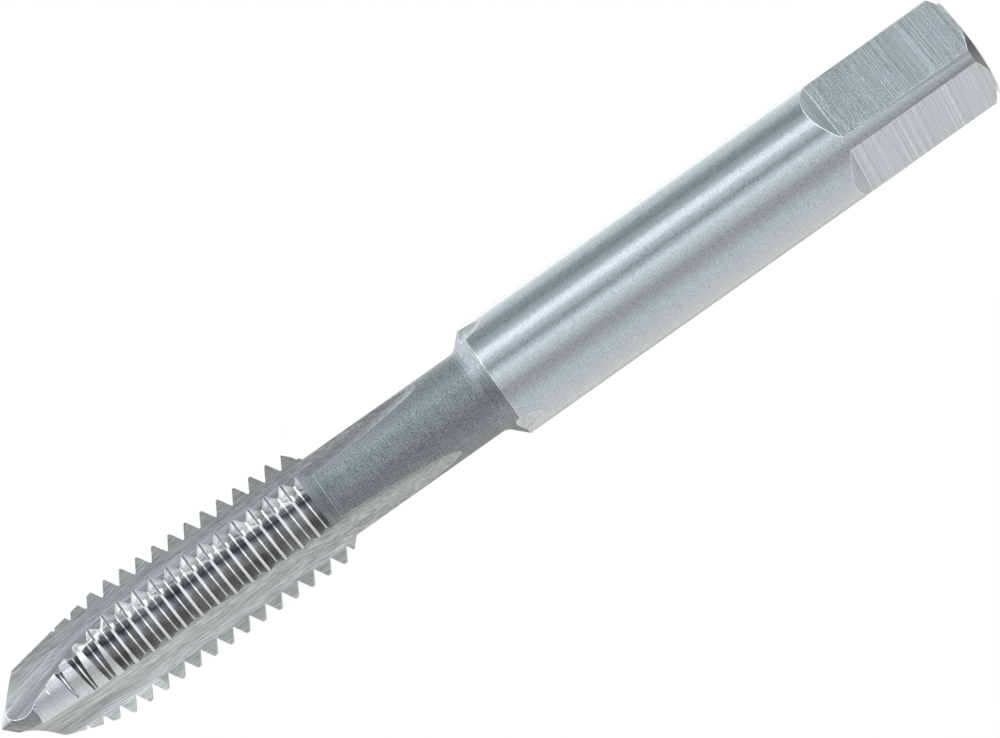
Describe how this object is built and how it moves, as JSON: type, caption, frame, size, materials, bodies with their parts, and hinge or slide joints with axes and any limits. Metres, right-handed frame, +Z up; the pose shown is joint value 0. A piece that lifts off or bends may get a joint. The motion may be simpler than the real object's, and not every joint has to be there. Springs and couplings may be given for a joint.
{
  "type": "thread tap",
  "caption": "Straight-fluted machine tap with a spiral point, a tapered relieved lead, a reduced neck, a ground shank and a driving square.",
  "frame": {"origin": "middle of the square's end face, on which the tap stands", "axes": "+Z up the tap's axis to its point; the flats of the square face +X, -X, +Y and -Y"},
  "size_m": [0.008, 0.008, 0.0744],
  "materials": {
    "ground_steel": "ground, bare high-speed steel"
  },
  "bodies": {
    "root": {"thread_tap": "ground_steel"}
  },
  "joints": []
}
